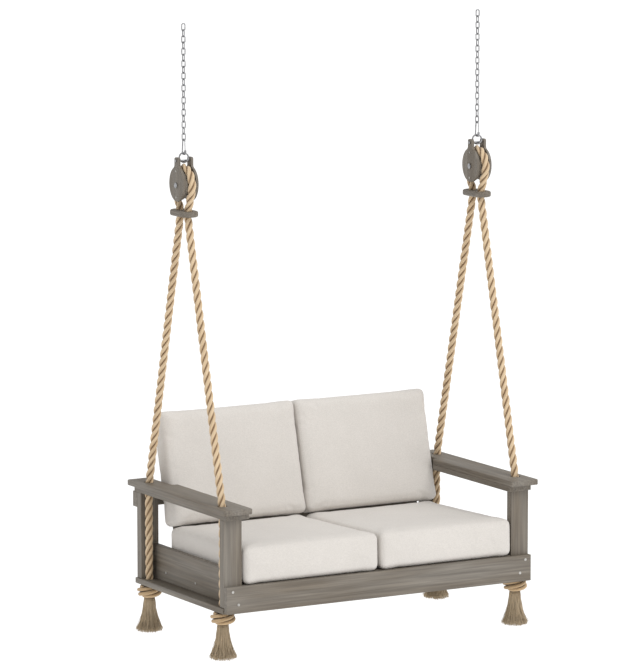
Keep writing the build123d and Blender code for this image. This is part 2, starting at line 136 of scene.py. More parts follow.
class Groups:
    """The shader node groups that several finishes share, each built once."""

    def __init__(self) -> None:
        """Build every group."""
        self.board = self._board_grain()
        self.weave = self._cushion_weave()
        self.fibre = self._rope_fibre()
        self.brushed = self._brushed_steel()

    @staticmethod
    def _start(name: str, inputs: list[tuple[str, str]], outputs: list[tuple[str, str]]) -> tuple:
        """Make an empty group with named sockets.

        Args:
            name: The group's name.
            inputs: Socket names and kinds that go in.
            outputs: Socket names and kinds that come out.

        Returns:
            The group, its input node and its output node.
        """
        group = bpy.data.node_groups.new(name, "ShaderNodeTree")
        for label, kind in inputs:
            group.interface.new_socket(name=label, in_out="INPUT", socket_type=kind)
        for label, kind in outputs:
            group.interface.new_socket(name=label, in_out="OUTPUT", socket_type=kind)
        return group, group.nodes.new("NodeGroupInput"), group.nodes.new("NodeGroupOutput")

    @staticmethod
    def _noise(group: bpy.types.NodeTree, source: bpy.types.NodeSocket, stretch: Point, scale: float,
               detail: float, twist: float = 0.0) -> bpy.types.NodeSocket:
        """Add noise on stretched coordinates.

        Args:
            group: The tree to add to.
            source: The coordinates.
            stretch: Scale of the coordinates on each axis.
            scale: The noise's own scale.
            detail: Octaves of detail.
            twist: Distortion.

        Returns:
            The noise's factor.
        """
        mapping = group.nodes.new("ShaderNodeMapping")
        mapping.inputs["Scale"].default_value = stretch
        noise = group.nodes.new("ShaderNodeTexNoise")
        noise.inputs["Scale"].default_value = scale
        noise.inputs["Detail"].default_value = detail
        noise.inputs["Distortion"].default_value = twist
        group.links.new(source, mapping.inputs["Vector"])
        group.links.new(mapping.outputs["Vector"], noise.inputs["Vector"])
        return noise.outputs["Fac"]

    @staticmethod
    def _mix(group: bpy.types.NodeTree, factor: bpy.types.NodeSocket, low: bpy.types.NodeSocket,
             high: bpy.types.NodeSocket, blend: str = "MIX") -> bpy.types.NodeSocket:
        """Mix two colours by a factor.

        Args:
            group: The tree to add to.
            factor: The share of the second colour.
            low: The first colour.
            high: The second colour.
            blend: The way the two are mixed.

        Returns:
            The mixed colour.
        """
        mix = group.nodes.new("ShaderNodeMix")
        mix.data_type = "RGBA"
        mix.blend_type = blend
        group.links.new(factor, mix.inputs[0])
        group.links.new(low, mix.inputs[6])
        group.links.new(high, mix.inputs[7])
        return mix.outputs[2]

    @staticmethod
    def _sharpen(group: bpy.types.NodeTree, source: bpy.types.NodeSocket, low: float, high: float,
                 out_low: float = 0.0, out_high: float = 1.0) -> bpy.types.NodeSocket:
        """Stretch a value between two limits.

        Args:
            group: The tree to add to.
            source: The value.
            low: The value that becomes out_low.
            high: The value that becomes out_high.
            out_low: Lowest result.
            out_high: Highest result.

        Returns:
            The stretched value.
        """
        span = group.nodes.new("ShaderNodeMapRange")
        span.inputs["From Min"].default_value = low
        span.inputs["From Max"].default_value = high
        span.inputs["To Min"].default_value = out_low
        span.inputs["To Max"].default_value = out_high
        group.links.new(source, span.inputs["Value"])
        return span.outputs["Result"]

    @staticmethod
    def _sum(group: bpy.types.NodeTree, first: bpy.types.NodeSocket, second: bpy.types.NodeSocket,
             how: str = "ADD") -> bpy.types.NodeSocket:
        """Join two values with one sum.

        Args:
            group: The tree to add to.
            first: The first value.
            second: The second value.
            how: The sum to do.

        Returns:
            The result.
        """
        node = group.nodes.new("ShaderNodeMath")
        node.operation = how
        group.links.new(first, node.inputs[0])
        group.links.new(second, node.inputs[1])
        return node.outputs[0]

    def _board_grain(self) -> bpy.types.NodeTree:
        """Weathered wood grain that runs along X: streaks, fine pores and soft patches."""
        group, start, end = self._start(
            "board_grain",
            [("Vector", "NodeSocketVector"), ("Dark", "NodeSocketColor"), ("Light", "NodeSocketColor"),
             ("Warm", "NodeSocketColor")],
            [("Color", "NodeSocketColor"), ("Roughness", "NodeSocketFloat"), ("Height", "NodeSocketFloat")],
        )
        source = start.outputs["Vector"]
        streak = self._noise(group, source, (2.0, 78.0, 78.0), 1.6, 5.0, 0.35)
        fine = self._noise(group, source, (8.0, 520.0, 520.0), 1.0, 3.0)
        patch = self._noise(group, source, (1.0, 9.0, 9.0), 1.9, 3.0)
        streak_mask = self._sharpen(group, streak, 0.27, 0.73)
        patch_mask = self._sharpen(group, patch, 0.35, 0.65, 0.0, 0.75)
        colour = self._mix(group, streak_mask, start.outputs["Dark"], start.outputs["Light"])
        colour = self._mix(group, patch_mask, colour, start.outputs["Warm"], "SOFT_LIGHT")
        pore = self._sharpen(group, fine, 0.36, 0.5)
        pore_share = self._sharpen(group, pore, 0.0, 1.0, 0.34, 0.0)
        colour = self._mix(group, pore_share, colour, start.outputs["Dark"])
        rough = self._sharpen(group, streak, 0.3, 0.7, 0.50, 0.66)
        height = self._sum(group, self._sharpen(group, streak, 0.0, 1.0, 0.0, 0.6), fine)
        group.links.new(colour, end.inputs["Color"])
        group.links.new(rough, end.inputs["Roughness"])
        group.links.new(height, end.inputs["Height"])
        return group

    def _cushion_weave(self) -> bpy.types.NodeTree:
        """A fine plain weave with slubs, on object coordinates."""
        group, start, end = self._start(
            "cushion_weave",
            [("Vector", "NodeSocketVector"), ("Thread", "NodeSocketFloat"), ("Light", "NodeSocketColor"),
             ("Dark", "NodeSocketColor")],
            [("Color", "NodeSocketColor"), ("Height", "NodeSocketFloat")],
        )
        parts = group.nodes.new("ShaderNodeSeparateXYZ")
        group.links.new(start.outputs["Vector"], parts.inputs["Vector"])
        waves = []
        for axis in ("X", "Y", "Z"):
            scaled = self._sum(group, parts.outputs[axis], start.outputs["Thread"], "MULTIPLY")
            sine = group.nodes.new("ShaderNodeMath")
            sine.operation = "SINE"
            group.links.new(scaled, sine.inputs[0])
            waves.append(sine.outputs[0])
        first = self._sum(group, waves[0], waves[1], "MULTIPLY")
        second = self._sum(group, waves[0], waves[2], "MULTIPLY")
        both = self._sum(group, first, second)
        slub = self._noise(group, start.outputs["Vector"], (160.0, 340.0, 340.0), 1.0, 3.0)
        cloud = self._noise(group, start.outputs["Vector"], (1.0, 1.0, 1.0), 3.5, 3.0)
        mask = self._sum(group, self._sharpen(group, both, -1.4, 1.4, 0.0, 0.42), slub)
        mask = self._sum(group, mask, self._sharpen(group, cloud, 0.3, 0.7, -0.10, 0.10))
        shade = self._sharpen(group, mask, 0.35, 1.1)
        colour = self._mix(group, shade, start.outputs["Dark"], start.outputs["Light"])
        height = self._sum(group, self._sharpen(group, both, -1.4, 1.4), slub)
        group.links.new(colour, end.inputs["Color"])
        group.links.new(height, end.inputs["Height"])
        return group

    def _rope_fibre(self) -> bpy.types.NodeTree:
        """Fine fibres that run along a strand, on the strand's own UV map, with painted shade where the depth
        is low, in the hollows between strands.
        """
        group, start, end = self._start(
            "rope_fibre",
            [("Vector", "NodeSocketVector"), ("Around", "NodeSocketVector"), ("Depth", "NodeSocketFloat"),
             ("Light", "NodeSocketColor"), ("Dark", "NodeSocketColor"), ("Shade", "NodeSocketColor")],
            [("Color", "NodeSocketColor"), ("Height", "NodeSocketFloat")],
        )
        turn = group.nodes.new("ShaderNodeSeparateXYZ")
        group.links.new(start.outputs["Around"], turn.inputs["Vector"])
        circle = group.nodes.new("ShaderNodeCombineXYZ")
        for axis, wave in (("X", "COSINE"), ("Y", "SINE")):
            angle = group.nodes.new("ShaderNodeMath")
            angle.operation = "MULTIPLY"
            angle.inputs[1].default_value = 2 * math.pi
            group.links.new(turn.outputs["X"], angle.inputs[0])
            node = group.nodes.new("ShaderNodeMath")
            node.operation = wave
            group.links.new(angle.outputs[0], node.inputs[0])
            group.links.new(node.outputs[0], circle.inputs[axis])
        group.links.new(turn.outputs["Y"], circle.inputs["Z"])
        yarn = self._noise(group, circle.outputs["Vector"], (3.6, 3.6, 1.1), 1.0, 3.0, 0.25)
        fuzz = self._noise(group, start.outputs["Vector"], (1.0, 1.0, 1.0), 900.0, 2.0)
        cloud = self._noise(group, start.outputs["Vector"], (1.0, 1.0, 1.0), 14.0, 3.0)
        mask = self._sum(group, self._sharpen(group, yarn, 0.3, 0.7, 0.15, 1.0),
                         self._sharpen(group, cloud, 0.3, 0.7, -0.15, 0.15))
        colour = self._mix(group, self._sharpen(group, mask, 0.0, 1.0), start.outputs["Dark"],
                           start.outputs["Light"])
        # painted shade: points deep in the rope, in the hollows between strands, take the Shade colour
        painted_groove_shade = self._sharpen(group, start.outputs["Depth"], 0.62, 0.93)
        colour = self._mix(group, painted_groove_shade, start.outputs["Shade"], colour)
        height = self._sum(group, yarn, self._sharpen(group, fuzz, 0.0, 1.0, 0.0, 0.35))
        group.links.new(colour, end.inputs["Color"])
        group.links.new(height, end.inputs["Height"])
        return group

    def _brushed_steel(self) -> bpy.types.NodeTree:
        """Dull streaks and fine scratches on steel."""
        group, start, end = self._start(
            "brushed_steel",
            [("Vector", "NodeSocketVector"), ("Light", "NodeSocketColor"), ("Dark", "NodeSocketColor")],
            [("Color", "NodeSocketColor"), ("Roughness", "NodeSocketFloat"), ("Height", "NodeSocketFloat")],
        )
        cloud = self._noise(group, start.outputs["Vector"], (1.0, 1.0, 1.0), 90.0, 4.0)
        scratch = self._noise(group, start.outputs["Vector"], (1.0, 1.0, 0.15), 1400.0, 2.0)
        colour = self._mix(group, self._sharpen(group, cloud, 0.3, 0.7), start.outputs["Dark"],
                           start.outputs["Light"])
        group.links.new(colour, end.inputs["Color"])
        group.links.new(self._sharpen(group, cloud, 0.3, 0.7, 0.28, 0.46), end.inputs["Roughness"])
        group.links.new(scratch, end.inputs["Height"])
        return group


# ---- finishes -------------------------------------------------------------------------------------


def plain_material(name: str) -> tuple:
    """Start a material with its shader, output and coordinates.

    Args:
        name: The material's name.

    Returns:
        The material, its node tree, its shader and its coordinate node.
    """
    material = bpy.data.materials.new(name)
    material.use_nodes = True
    tree = material.node_tree
    tree.nodes.clear()
    shader = tree.nodes.new("ShaderNodeBsdfPrincipled")
    output = tree.nodes.new("ShaderNodeOutputMaterial")
    tree.links.new(shader.outputs["BSDF"], output.inputs["Surface"])
    return material, tree, shader, tree.nodes.new("ShaderNodeTexCoord")


def add_bump(tree: bpy.types.NodeTree, shader: bpy.types.Node, height: bpy.types.NodeSocket,
             strength: float, distance: float) -> None:
    """Feed a height into a shader's normal.

    Args:
        tree: The material's tree.
        shader: Its shader.
        height: The height socket.
        strength: The bump's strength.
        distance: The bump's depth in metres.
    """
    bump = tree.nodes.new("ShaderNodeBump")
    bump.inputs["Strength"].default_value = strength
    bump.inputs["Distance"].default_value = distance
    tree.links.new(height, bump.inputs["Height"])
    tree.links.new(bump.outputs["Normal"], shader.inputs["Normal"])


@dataclass(frozen=True)
class BoardFinish:
    """Grey-brown weathered board with grain along one axis."""

    dark: Colour = tint(103, 97, 89)
    light: Colour = tint(142, 135, 125)
    warm: Colour = tint(140, 130, 117)

    def make(self, groups: Groups, name: str, grain: Grain, offset: float) -> bpy.types.Material:
        """Build the material.

        Args:
            groups: The shared groups.
            name: The material's name.
            grain: The way its grain runs.
            offset: Shifts the pattern so that no two boards match.

        Returns:
            The material.
        """
        material, tree, shader, place = plain_material(name)
        mapping = tree.nodes.new("ShaderNodeMapping")
        mapping.inputs["Rotation"].default_value = grain.value
        mapping.inputs["Location"].default_value = (offset, offset * 1.7, offset * 0.6)
        body = tree.nodes.new("ShaderNodeGroup")
        body.node_tree = groups.board
        body.inputs["Dark"].default_value = self.dark
        body.inputs["Light"].default_value = self.light
        body.inputs["Warm"].default_value = self.warm
        tree.links.new(place.outputs["Object"], mapping.inputs["Vector"])
        tree.links.new(mapping.outputs["Vector"], body.inputs["Vector"])
        tree.links.new(body.outputs["Color"], shader.inputs["Base Color"])
        tree.links.new(body.outputs["Roughness"], shader.inputs["Roughness"])
        add_bump(tree, shader, body.outputs["Height"], 0.45, 0.0006)
        return material


@dataclass(frozen=True)
class WeaveFinish:
    """Off-white outdoor cloth in a fine plain weave."""

    light: Colour = tint(221, 216, 210)
    dark: Colour = tint(199, 194, 188)
    threads: float = 2600.0

    def make(self, groups: Groups, name: str) -> bpy.types.Material:
        """Build the material.

        Args:
            groups: The shared groups.
            name: The material's name.

        Returns:
            The material.
        """
        material, tree, shader, place = plain_material(name)
        body = tree.nodes.new("ShaderNodeGroup")
        body.node_tree = groups.weave
        body.inputs["Thread"].default_value = self.threads
        body.inputs["Light"].default_value = self.light
        body.inputs["Dark"].default_value = self.dark
        tree.links.new(place.outputs["Object"], body.inputs["Vector"])
        tree.links.new(body.outputs["Color"], shader.inputs["Base Color"])
        shader.inputs["Roughness"].default_value = 0.92
        shader.inputs["Sheen Weight"].default_value = 0.25
        shader.inputs["Specular IOR Level"].default_value = 0.2
        add_bump(tree, shader, body.outputs["Height"], 0.3, 0.0005)
        return material


@dataclass(frozen=True)
class RopeFinish:
    """Tan synthetic rope with fibres that run along each strand, and a painted shade colour for the hollows
    between strands.
    """

    light: Colour = tint(227, 203, 169)
    dark: Colour = tint(192, 165, 129)
    # painted shade colour for the hollows between the strands
    shade: Colour = tint(138, 107, 73)

    def make(self, groups: Groups, name: str) -> bpy.types.Material:
        """Build the material. Its piece holds a UV map and a "depth" attribute, 1 at the outside; low depth
        gets painted shade.

        Args:
            groups: The shared groups.
            name: The material's name.

        Returns:
            The material.
        """
        material, tree, shader, place = plain_material(name)
        body = tree.nodes.new("ShaderNodeGroup")
        body.node_tree = groups.fibre
        body.inputs["Light"].default_value = self.light
        body.inputs["Dark"].default_value = self.dark
        body.inputs["Shade"].default_value = self.shade
        depth = tree.nodes.new("ShaderNodeAttribute")
        depth.attribute_name = "depth"
        tree.links.new(depth.outputs["Fac"], body.inputs["Depth"])
        tree.links.new(place.outputs["Object"], body.inputs["Vector"])
        tree.links.new(place.outputs["UV"], body.inputs["Around"])
        tree.links.new(body.outputs["Color"], shader.inputs["Base Color"])
        shader.inputs["Roughness"].default_value = 0.8
        shader.inputs["Sheen Weight"].default_value = 0.2
        add_bump(tree, shader, body.outputs["Height"], 0.6, 0.0010)
        return material


@dataclass(frozen=True)
class SteelFinish:
    """Bright galvanised or stainless steel."""

    light: Colour = tint(182, 182, 183)
    dark: Colour = tint(124, 124, 127)

    def make(self, groups: Groups, name: str) -> bpy.types.Material:
        """Build the material.

        Args:
            groups: The shared groups.
            name: The material's name.

        Returns:
            The material.
        """
        material, tree, shader, place = plain_material(name)
        body = tree.nodes.new("ShaderNodeGroup")
        body.node_tree = groups.brushed
        body.inputs["Light"].default_value = self.light
        body.inputs["Dark"].default_value = self.dark
        tree.links.new(place.outputs["Object"], body.inputs["Vector"])
        tree.links.new(body.outputs["Color"], shader.inputs["Base Color"])
        tree.links.new(body.outputs["Roughness"], shader.inputs["Roughness"])
        shader.inputs["Metallic"].default_value = 0.85
        add_bump(tree, shader, body.outputs["Height"], 0.15, 0.0002)
        return material


# ---- boards and hardware ----------------------------------------------------------------------------


@dataclass
class BoardWork:
    """Every board of the frame, with the way its grain runs."""

    along: tuple[str, ...] = (
        "front_apron", "rear_apron", "front_beam", "seat_slats", "back_rail", "back_slats")
    deep: tuple[str, ...] = ("arm_board", "arm_rail", "side_panel", "rope_ledge", "fairlead")
    upright: tuple[str, ...] = ("block_outer_cheek", "block_inner_cheek", "sheave")
    finish: BoardFinish = field(default_factory=BoardFinish)

    def dress(self, groups: Groups) -> int:
        """Give each board a material of its own.

        Args:
            groups: The shared groups.

        Returns:
            How many boards were dressed.
        """
        plan: list[tuple[str, Grain]] = [(name, Grain.ALONG) for name in self.along]
        plan += [("seat_bearers", Grain.DEEP), ("back_stiles", Grain.UPRIGHT)]
        for side in Side:
            plan += [(f"{side.word}_{name}", Grain.DEEP) for name in self.deep]
            plan += [(f"{side.word}_{name}", Grain.UPRIGHT) for name in self.upright]
            plan += [(f"{end}_{side.word}_post", Grain.UPRIGHT) for end in ("front", "rear")]
        for index, (name, grain) in enumerate(plan):
            material = self.finish.make(groups, f"{name}_board", grain, 0.37 * index)
            dress(bpy.data.objects[name], material)
        return len(plan)


@dataclass
class SteelWork:
    """Chains, snap links, rings and pins."""

    sided: tuple[str, ...] = (
        "second_link", "chain_run", "carabiner", "gate", "ring", "block_top_pin", "sheave_pin")
    finish: SteelFinish = field(default_factory=SteelFinish)

    def dress(self, groups: Groups) -> int:
        """Give the steel its material.

        Args:
            groups: The shared groups.

        Returns:
            How many nodes were dressed.
        """
        material = self.finish.make(groups, "galvanised_steel")
        names = ["top_links"] + [f"{side.word}_{name}" for side in Side for name in self.sided]
        for name in names:
            dress(bpy.data.objects[name], material)
        return len(names)


@dataclass
class ScrewHeads:
    """Domed screw heads with a round recess, standing on the CAD heads' places."""

    radius: float = 0.005
    rise: float = 0.0018
    recess: float = 0.0020
    finish: SteelFinish = field(
        default_factory=lambda: SteelFinish(tint(215, 213, 208), tint(165, 163, 158)))

    def _head(self, centre: Vector, outward: Vector, radius: float) -> bpy.types.Object:
        """Model one head.

        Args:
            centre: Where it meets the board.
            outward: The way it faces.
            radius: Its radius.

        Returns:
            The head.
        """
        turn = outward.to_track_quat("Z", "Y").to_euler()
        bpy.ops.mesh.primitive_cylinder_add(vertices=24, radius=radius, depth=self.rise,
                                            location=centre + outward * (self.rise / 2), rotation=turn)
        head = bpy.context.object
        bpy.ops.object.transform_apply(location=True, rotation=True, scale=True)
        bpy.ops.object.mode_set(mode="EDIT")
        bpy.ops.mesh.select_all(action="DESELECT")
        work = bmesh.from_edit_mesh(head.data)
        for face in work.faces:
            face.select = face.normal.dot(outward) > 0.9
        bmesh.update_edit_mesh(head.data)
        bpy.ops.mesh.inset(thickness=radius * 0.28, depth=self.rise * 0.22)
        bpy.ops.mesh.inset(thickness=radius * 0.28, depth=0.0)
        bpy.ops.mesh.inset(thickness=radius * 0.02, depth=-self.recess * 0.6)
        bpy.ops.object.mode_set(mode="OBJECT")
        return head

    def build(self, groups: Groups) -> list[bpy.types.Object]:
        """Model the heads of each screw node.

        Args:
            groups: The shared groups.

        Returns:
            The three pieces.
        """
        material = self.finish.make(groups, "screw_steel")
        pieces = []
        for node in ("apron_screws", "panel_screws", "block_screws"):
            heads = []
            for centre, outward, radius in self._places(node):
                heads.append(self._head(centre, outward, radius))
            bpy.ops.object.select_all(action="DESELECT")
            for head in heads:
                head.select_set(True)
            bpy.context.view_layer.objects.active = heads[0]
            bpy.ops.object.join()
            piece = bpy.context.object
            piece.name = f"{node}_heads"
            bpy.ops.object.origin_set(type="ORIGIN_CURSOR")
            dress(piece, material)
            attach(piece, "bench")
            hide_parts(node)
            pieces.append(piece)
        return pieces

    @staticmethod
    def _places(node: str) -> list[tuple[Vector, Vector, float]]:
        """Read where the screws of a node stand from its own mesh.

        Args:
            node: The screw node.

        Returns:
            The base, facing and radius of each head.
        """
        source = bpy.data.objects[node]
        work = bmesh.new()
        work.from_mesh(source.data)
        bmesh.ops.remove_doubles(work, verts=work.verts, dist=1e-6)
        places = []
        left = set(work.verts)
        for first in work.verts:
            if first not in left:
                continue
            left.remove(first)
            stack = [first]
            island = list(stack)
            while stack:
                for edge in stack.pop().link_edges:
                    for vert in edge.verts:
                        if vert in left:
                            left.remove(vert)
                            stack.append(vert)
                            island.append(vert)
            low = Vector([min(v.co[i] for v in island) for i in range(3)])
            high = Vector([max(v.co[i] for v in island) for i in range(3)])
            span = high - low
            thin = min(range(3), key=lambda i: span[i])
            outward = Vector((0.0, 0.0, 0.0))
            centre = (low + high) / 2
            if thin == 1:
                outward[1] = -1.0
                centre[1] = high[1]
            else:
                ropes = ROPE_X if node == "block_screws" else 0.0
                away = 1.0 if abs(centre[0]) > ropes else -1.0
                outward[0] = math.copysign(1.0, centre[0]) * away
                centre[0] = low[0] if outward[0] > 0 else high[0]
            places.append((centre, outward, max(span) / 2))
        work.free()
        return places


# ---- rope -------------------------------------------------------------------------------------------


def tube_along(points: list[Vector], radii: list[float], sides: int, name: str) -> bpy.types.Mesh:
    """Skin a tube round a line, with its own UV map: around in U, metres along in V.

    Args:
        points: The line.
        radii: The tube's radius at each point.
        sides: How many sides its section has.
        name: The mesh's name.

    Returns:
        The mesh, closed at both ends.
    """
    verts: list[Vector] = []
    faces: list[tuple[int, ...]] = []
    count = len(points)
    normal = Vector((1.0, 0.0, 0.0))
    for index, point in enumerate(points):
        ahead = points[min(index + 1, count - 1)] - points[max(index - 1, 0)]
        tangent = ahead.normalized()
        normal = (normal - tangent * normal.dot(tangent))
        if normal.length < 1e-6:
            normal = tangent.orthogonal()
        normal.normalize()
        across = tangent.cross(normal)
        for side in range(sides):
            angle = 2 * math.pi * side / sides
            verts.append(point + (normal * math.cos(angle) + across * math.sin(angle)) * radii[index])
    for ring in range(count - 1):
        for side in range(sides):
            nxt = (side + 1) % sides
            faces.append((ring * sides + side, ring * sides + nxt, (ring + 1) * sides + nxt,
                          (ring + 1) * sides + side))
    faces.append(tuple(reversed(range(sides))))
    faces.append(tuple((count - 1) * sides + side for side in range(sides)))
    mesh = bpy.data.meshes.new(name)
    mesh.from_pydata(verts, [], faces)
    reach = [0.0]
    for index in range(1, count):
        reach.append(reach[-1] + (points[index] - points[index - 1]).length)
    layer = mesh.uv_layers.new(name="along")
    loop = 0
    for ring in range(count - 1):
        for side in range(sides):
            corners = ((side, ring), (side + 1, ring), (side + 1, ring + 1), (side, ring + 1))
            for around, along in corners:
                layer.data[loop].uv = (around / sides, reach[along] * 12.0)
                loop += 1
    mesh.polygons.foreach_set("use_smooth", [True] * len(mesh.polygons))
    mesh.update()
    return mesh


def join_meshes(name: str, meshes: list[bpy.types.Mesh], depths: list[float]) -> bpy.types.Object:
    """Join several meshes into one object that knows how deep each point lies.

    Args:
        name: The object's name.
        meshes: The meshes.
        depths: One value a point, from 0 at the heart to 1 at the outside.

    Returns:
        The joined object.
    """
    work = bmesh.new()
    for mesh in meshes:
        work.from_mesh(mesh)
        bpy.data.meshes.remove(mesh)
    joined = bpy.data.meshes.new(name)
    work.to_mesh(joined)
    work.free()
    layer = joined.attributes.new("depth", "FLOAT", "POINT")
    layer.data.foreach_set("value", depths)
    return mesh_object(name, joined)


@dataclass
class SwingRope:
    """One rope: knot to knot, up the rear leg, over the wheel and down the front leg."""

    side: Side
    x: float = ROPE_X
    diameter: float = 0.036
    strand: float = 0.0085
    lay: float = 0.133
    finish: RopeFinish = field(default_factory=RopeFinish)

    def route(self) -> list[Vector]:
        """The rope's control points, rear knot first.

        Returns:
            The points, in metres.
        """
        half = [
            (0.3407, -2.5205), (0.3407, -2.2720), (0.3407, -2.1720), (0.3407, -2.0723), (0.3167, -1.9752),
            (0.0829, -1.0300), (0.0526, -0.9077), (0.0310, -0.8203), (0.0579, -0.7541), (0.0809, -0.6968),
            (0.0570, -0.6399),
        ]
        x = self.side.sign * self.x
        rear = [Vector((x, y, z)) for y, z in half]
        front = [Vector((x, -y, z)) for y, z in reversed(half)]
        return rear + [Vector((x, 0.0, -0.6164))] + front

    def centre_line(self) -> list[Vector]:
        """Read the line of the route's own smooth curve.

        Returns:
            Points along the line.
        """
        curve = bpy.data.curves.new("rope_line", "CURVE")
        curve.dimensions = "3D"
        curve.resolution_u = 48
        spline = curve.splines.new("NURBS")
        points = self.route()
        spline.points.add(len(points) - 1)
        for place, point in zip(spline.points, points):
            place.co = (point.x, point.y, point.z, 1.0)
        spline.order_u = 3
        spline.use_endpoint_u = True
        holder = bpy.data.objects.new("rope_line", curve)
        bpy.context.scene.collection.objects.link(holder)
        bpy.context.view_layer.update()
        line = bpy.data.meshes.new_from_object(holder)
        out = [vert.co.copy() for vert in line.vertices]
        bpy.data.objects.remove(holder)
        bpy.data.curves.remove(curve)
        bpy.data.meshes.remove(line)
        return out

    @staticmethod
    def even(line: list[Vector], step: float) -> list[Vector]:
        """Space a line's points evenly.

        Args:
            line: The line.
            step: The space wanted.

        Returns:
            The evenly spaced points.
        """
        reach = [0.0]
        for index in range(1, len(line)):
            reach.append(reach[-1] + (line[index] - line[index - 1]).length)
        count = max(2, int(reach[-1] / step))
        out = []
        seat = 0
        for index in range(count + 1):
            want = reach[-1] * index / count
            while seat < len(line) - 2 and reach[seat + 1] < want:
                seat += 1
            span = max(1e-9, reach[seat + 1] - reach[seat])
            out.append(line[seat].lerp(line[seat + 1], (want - reach[seat]) / span))
        return out

    def build(self, groups: Groups) -> bpy.types.Object:
        """Lay three strands round the line.

        Args:
            groups: The shared groups.

        Returns:
            The rope.
        """
        line = self.even(self.centre_line(), 0.005)
        reach = self.diameter / 2 - self.strand
        meshes = []
        depths = []
        for number in range(3):
            strand = []
            gone = 0.0
            for index, point in enumerate(line):
                if index:
                    gone += (point - line[index - 1]).length
                tangent = (line[min(index + 1, len(line) - 1)] - line[max(index - 1, 0)]).normalized()
                normal = Vector((1.0, 0.0, 0.0))
                across = tangent.cross(normal)
                angle = 2 * math.pi * (gone / self.lay + number / 3)
                strand.append(point + (normal * math.cos(angle) + across * math.sin(angle)) * reach)
            tube = tube_along(strand, [self.strand] * len(strand), STRAND_SIDES, "strand")
            # depth from the rope's heart; low depth gets painted shade in the hollows between strands
            for vert in tube.vertices:
                away = (vert.co - line[vert.index // STRAND_SIDES]).length
                depths.append(2 * away / self.diameter)
            meshes.append(tube)
        piece = join_meshes(f"{self.side.word}_laid_rope", meshes, depths)
        dress(piece, self.finish.make(groups, f"{self.side.word}_rope_strands"))
        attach(piece, "bench")
        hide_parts(f"{self.side.word}_rope")
        return piece


@dataclass
class StopperKnot:
    """A stopper knot under the ledge: one strand wound five times round a fuller core."""

    node: str
    leads: int = 5
    bights: int = 3
    reach: float = 0.0335
    bulge: float = 0.0140
    height: float = 0.0175
    strand: float = 0.0082
    steps: int = 520
    core_radii: tuple[float, ...] = (0.023, 0.036, 0.044, 0.036, 0.020)
    # the third colour is painted shade for the knot's inner parts
    finish: RopeFinish = field(
        default_factory=lambda: RopeFinish(tint(206, 178, 138), tint(158, 128, 92), tint(70, 50, 34)))

    def build(self, groups: Groups) -> bpy.types.Object:
        """Wind the strand and fill its middle.

        Args:
            groups: The shared groups.

        Returns:
            The knot.
        """
        low, high = (Vector(corner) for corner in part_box(self.node))
        middle = (low + high) / 2
        points = []
        for index in range(self.steps + 1):
            turn = 2 * math.pi * self.leads * index / self.steps
            wrap = turn * self.bights / self.leads
            radial = self.reach + self.bulge * math.cos(wrap)
            height = self.height * math.sin(wrap)
            points.append(middle + Vector((radial * math.cos(turn), radial * math.sin(turn), height)))
        body = tube_along(points, [self.strand] * len(points), STRAND_SIDES, "knot_strand")
        core_line = [Vector((middle.x, middle.y, low.z + 0.001)), Vector((middle.x, middle.y, low.z + 0.012)),
                     Vector((middle.x, middle.y, middle.z)), Vector((middle.x, middle.y, high.z - 0.006)),
                     Vector((middle.x, middle.y, high.z - 0.0005))]
        core = tube_along(core_line, list(self.core_radii), CORE_SIDES, "knot_core")
        depths = []
        # painted shade: points near the knot's middle ring take the darker colour
        for vert in body.vertices:
            away = vert.co - middle
            ring = Vector((away.x, away.y, 0.0)).normalized() * self.reach
            across = away - ring
            full = math.hypot(self.bulge + self.strand, 0.004)
            depths.append(min(1.0, 0.60 + 0.40 * across.length / full))
        # the core sits in painted shade
        depths += [0.5] * len(core.vertices)
        piece = join_meshes(f"{self.node}_strands", [body, core], depths)
        dress(piece, self.finish.make(groups, f"{self.node}_fibres"))
        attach(piece, "bench")
        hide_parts(self.node)
        return piece


